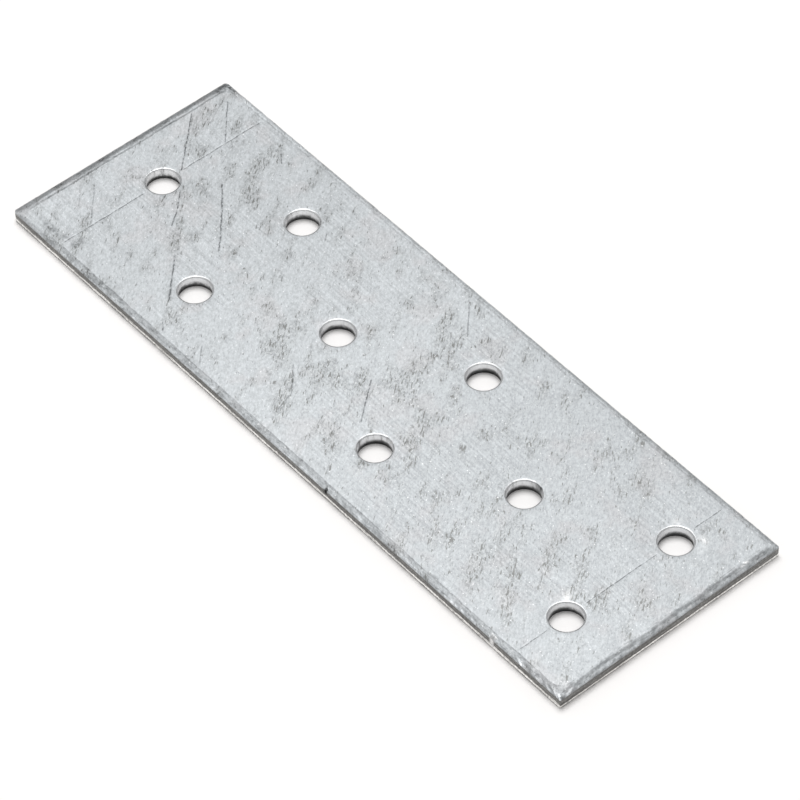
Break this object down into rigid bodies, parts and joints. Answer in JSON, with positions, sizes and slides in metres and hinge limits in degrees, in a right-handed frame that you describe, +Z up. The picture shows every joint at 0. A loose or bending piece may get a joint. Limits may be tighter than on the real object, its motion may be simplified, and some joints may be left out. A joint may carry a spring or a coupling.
{
  "type": "mending plate",
  "caption": "Flat oblong galvanised steel plate with a staggered pattern of plain nail holes, for joining timbers edge to edge or end to end.",
  "frame": {"origin": "middle of the underside, on the surface the plate lies on", "axes": "+X along the plate's length, +Y across its width, +Z up through its thickness out of the rolled face"},
  "size_m": [0.12, 0.04, 0.002],
  "materials": {
    "galvanised_steel": "zinc coated, dull satin with fine dark specks"
  },
  "bodies": {
    "root": {"mending_plate": "galvanised_steel"}
  },
  "joints": []
}
